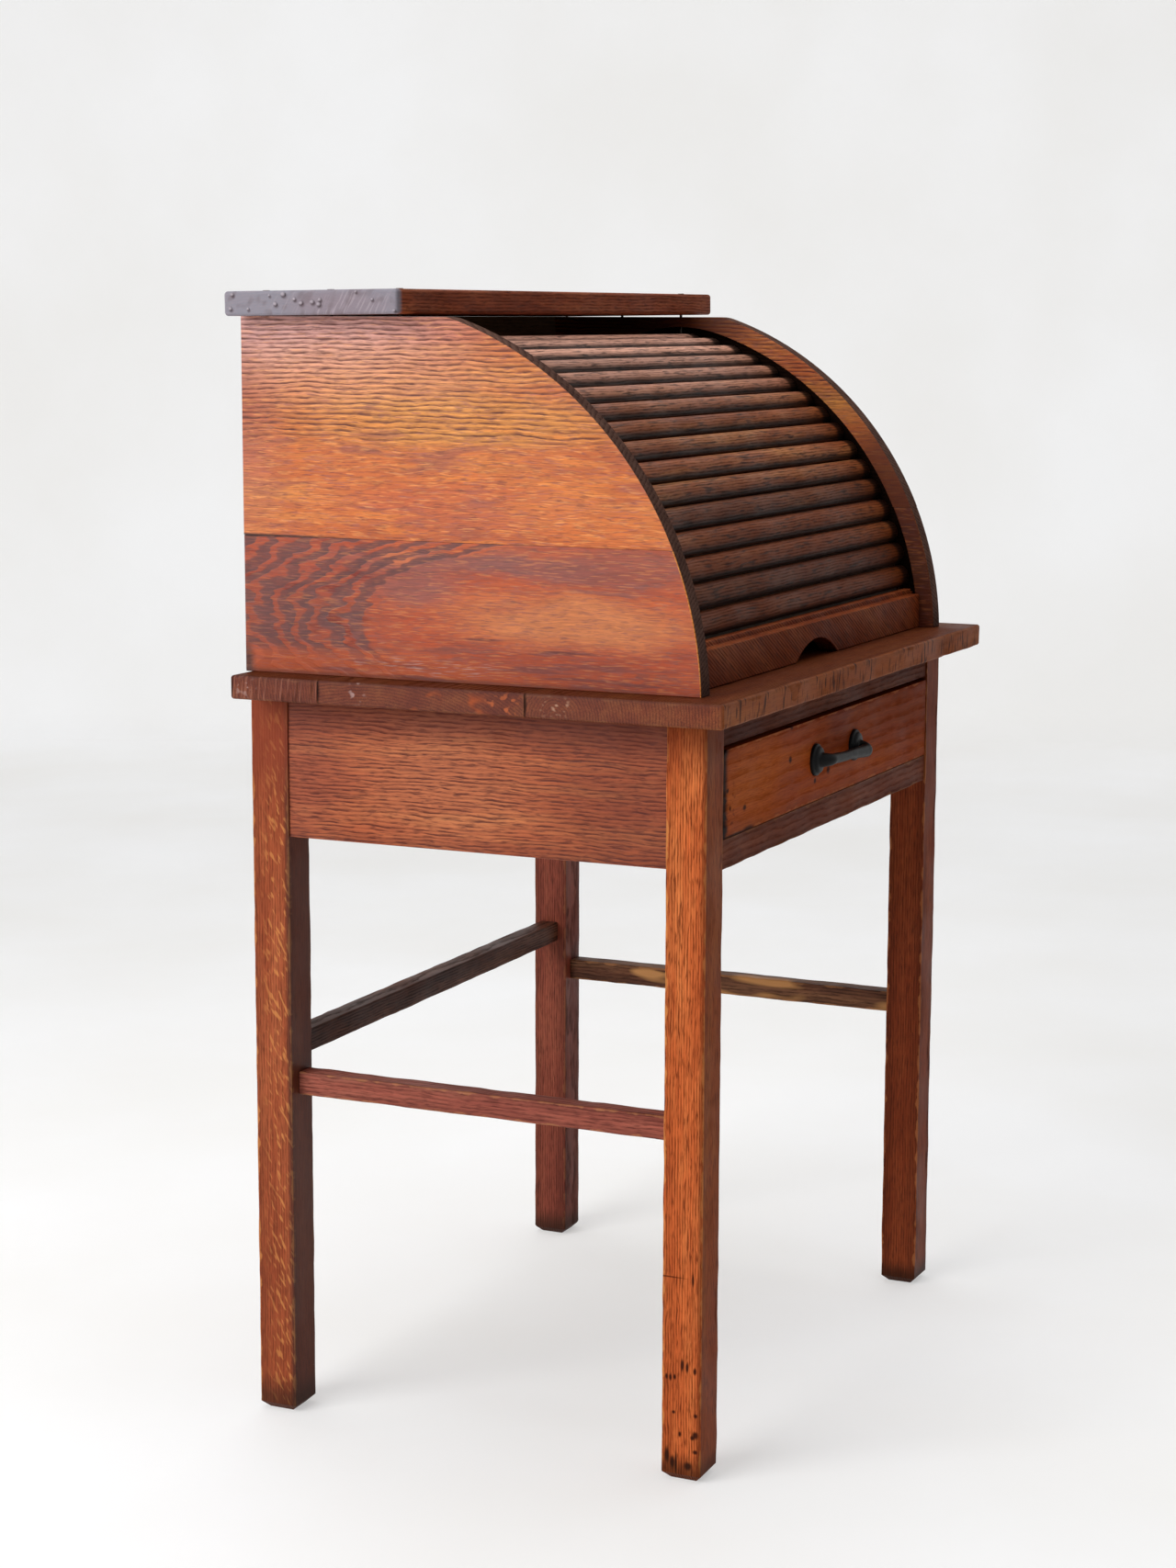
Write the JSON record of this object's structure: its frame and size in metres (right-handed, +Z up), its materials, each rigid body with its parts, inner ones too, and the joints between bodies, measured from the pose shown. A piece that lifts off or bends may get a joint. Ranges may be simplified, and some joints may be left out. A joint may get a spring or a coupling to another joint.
{
  "type": "roll top secretary desk",
  "caption": "Small oak roll top desk on square legs: curved case sides, a tambour of half-round slats with a lift rail, a writing top and a drawer with an iron bar pull.",
  "frame": {"origin": "on the floor, at the centre of the desk's overall box", "axes": "+Z up, +X to the right as one faces the desk, -Y towards the person at the desk"},
  "size_m": [0.773, 0.512, 1.1157],
  "materials": {
    "oak": "worn varnish",
    "oak_tambour": "dark worn varnish",
    "plain_wood": "bare",
    "iron": "black, worn",
    "steel": "dull",
    "canvas": "woven"
  },
  "bodies": {
    "desk": {"back_apron": "oak", "back_stretcher": "oak", "case_back_lower_board": "plain_wood", "case_back_upper_board": "plain_wood", "desktop_back_board": "oak", "desktop_front_board": "oak", "desktop_middle_board": "oak", "drawer_rail": "oak", "drawer_runner_left": "plain_wood", "drawer_runner_right": "plain_wood", "front_top_rail": "oak", "left_side_lower_board": "oak", "left_side_upper_board": "oak", "leg_back_left": "oak", "leg_back_right": "oak", "leg_front_left": "oak", "leg_front_right": "oak", "right_side_lower_board": "oak", "right_side_upper_board": "oak", "side_apron_left": "oak", "side_apron_right": "oak", "side_stretcher_left": "oak", "side_stretcher_right": "oak", "top_board": "oak", "top_nails": "steel"},
    "lift_rail": {"lift_rail": "oak_tambour", "tambour_canvas": "canvas"},
    "slat_01": {"slat_01": "oak_tambour"},
    "slat_02": {"slat_02": "oak_tambour"},
    "slat_03": {"slat_03": "oak_tambour"},
    "slat_04": {"slat_04": "oak_tambour"},
    "slat_05": {"slat_05": "oak_tambour"},
    "slat_06": {"slat_06": "oak_tambour"},
    "slat_07": {"slat_07": "oak_tambour"},
    "slat_08": {"slat_08": "oak_tambour"},
    "slat_09": {"slat_09": "oak_tambour"},
    "slat_10": {"slat_10": "oak_tambour"},
    "slat_11": {"slat_11": "oak_tambour"},
    "slat_12": {"slat_12": "oak_tambour"},
    "slat_13": {"slat_13": "oak_tambour"},
    "slat_14": {"slat_14": "oak_tambour"},
    "slat_15": {"slat_15": "oak_tambour"},
    "slat_16": {"slat_16": "oak_tambour"},
    "slat_17": {"slat_17": "oak_tambour"},
    "drawer": {"drawer_front": "oak", "drawer_side_left": "plain_wood", "drawer_side_right": "plain_wood", "drawer_back": "plain_wood", "drawer_bottom": "plain_wood", "drawer_pull": "iron", "pull_screws": "steel"}
  },
  "joints": [
    {"name": "tambour_roll", "type": "hinge", "parent": "desk", "child": "lift_rail", "pos_m": [0, 0.1472, 0.7391], "axis": [-1, 0, 0], "range_deg": [0, 47.53], "deforming": ["tambour_canvas"]},
    {"name": "slat_01_roll", "type": "hinge", "parent": "desk", "child": "slat_01", "pos_m": [0, 0.1472, 0.7391], "axis": [-1, 0, 0], "range_deg": [0, 47.53]},
    {"name": "slat_02_roll", "type": "hinge", "parent": "desk", "child": "slat_02", "pos_m": [0, 0.1472, 0.7391], "axis": [-1, 0, 0], "range_deg": [0, 47.53]},
    {"name": "slat_03_roll", "type": "hinge", "parent": "desk", "child": "slat_03", "pos_m": [0, 0.1472, 0.7391], "axis": [-1, 0, 0], "range_deg": [0, 47.53]},
    {"name": "slat_04_roll", "type": "hinge", "parent": "desk", "child": "slat_04", "pos_m": [0, 0.14516, 0.7414], "axis": [-1, 0, 0], "range_deg": [0, 47.96]},
    {"name": "slat_05_roll", "type": "hinge", "parent": "desk", "child": "slat_05", "pos_m": [0, 0.12119, 0.77075], "axis": [-1, 0, 0], "range_deg": [0, 53.97]},
    {"name": "slat_06_roll", "type": "hinge", "parent": "desk", "child": "slat_06", "pos_m": [0, 0.1039, 0.79611], "axis": [-1, 0, 0], "range_deg": [0, 59.97]},
    {"name": "slat_07_roll", "type": "hinge", "parent": "desk", "child": "slat_07", "pos_m": [0, 0.09168, 0.81833], "axis": [-1, 0, 0], "range_deg": [0, 65.98]},
    {"name": "slat_08_roll", "type": "hinge", "parent": "desk", "child": "slat_08", "pos_m": [0, 0.08342, 0.83796], "axis": [-1, 0, 0], "range_deg": [0, 71.98]},
    {"name": "slat_09_roll", "type": "hinge", "parent": "desk", "child": "slat_09", "pos_m": [0, 0.07834, 0.85538], "axis": [-1, 0, 0], "range_deg": [0, 77.99]},
    {"name": "slat_10_roll", "type": "hinge", "parent": "desk", "child": "slat_10", "pos_m": [0, 0.07587, 0.87082], "axis": [-1, 0, 0], "range_deg": [0, 83.99]},
    {"name": "slat_11_roll", "type": "hinge", "parent": "desk", "child": "slat_11", "pos_m": [0, 0.07554, 0.88446], "axis": [-1, 0, 0], "range_deg": [0, 90]},
    {"name": "slat_12_roll", "type": "hinge", "parent": "desk", "child": "slat_12", "pos_m": [0, 0.077, 0.89642], "axis": [-1, 0, 0], "range_deg": [0, 96]},
    {"name": "slat_13_roll", "type": "hinge", "parent": "desk", "child": "slat_13", "pos_m": [0, 0.07996, 0.90677], "axis": [-1, 0, 0], "range_deg": [0, 102.01]},
    {"name": "slat_14_roll", "type": "hinge", "parent": "desk", "child": "slat_14", "pos_m": [0, 0.08416, 0.91558], "axis": [-1, 0, 0], "range_deg": [0, 108.01]},
    {"name": "slat_15_roll", "type": "hinge", "parent": "desk", "child": "slat_15", "pos_m": [0, 0.08802, 0.92123], "axis": [-1, 0, 0], "range_deg": [0, 112.55]},
    {"name": "slat_16_roll", "type": "hinge", "parent": "desk", "child": "slat_16", "pos_m": [0, 0.08802, 0.92123], "axis": [-1, 0, 0], "range_deg": [0, 112.55]},
    {"name": "slat_17_roll", "type": "hinge", "parent": "desk", "child": "slat_17", "pos_m": [0, 0.08802, 0.92123], "axis": [-1, 0, 0], "range_deg": [0, 112.55]},
    {"name": "drawer_slide", "type": "slide", "parent": "desk", "child": "drawer", "axis": [0, -1, 0], "range_m": [0, 0.25]}
  ],
  "couplings": [
    {"joint": "slat_01_roll", "follows": "tambour_roll", "ratio": 1},
    {"joint": "slat_02_roll", "follows": "tambour_roll", "ratio": 1},
    {"joint": "slat_03_roll", "follows": "tambour_roll", "ratio": 1},
    {"joint": "slat_04_roll", "follows": "tambour_roll", "ratio": 1.0091},
    {"joint": "slat_05_roll", "follows": "tambour_roll", "ratio": 1.1354},
    {"joint": "slat_06_roll", "follows": "tambour_roll", "ratio": 1.2618},
    {"joint": "slat_07_roll", "follows": "tambour_roll", "ratio": 1.3881},
    {"joint": "slat_08_roll", "follows": "tambour_roll", "ratio": 1.5144},
    {"joint": "slat_09_roll", "follows": "tambour_roll", "ratio": 1.6408},
    {"joint": "slat_10_roll", "follows": "tambour_roll", "ratio": 1.7671},
    {"joint": "slat_11_roll", "follows": "tambour_roll", "ratio": 1.8935},
    {"joint": "slat_12_roll", "follows": "tambour_roll", "ratio": 2.0198},
    {"joint": "slat_13_roll", "follows": "tambour_roll", "ratio": 2.1461},
    {"joint": "slat_14_roll", "follows": "tambour_roll", "ratio": 2.2725},
    {"joint": "slat_15_roll", "follows": "tambour_roll", "ratio": 2.3679},
    {"joint": "slat_16_roll", "follows": "tambour_roll", "ratio": 2.3679},
    {"joint": "slat_17_roll", "follows": "tambour_roll", "ratio": 2.3679}
  ]
}
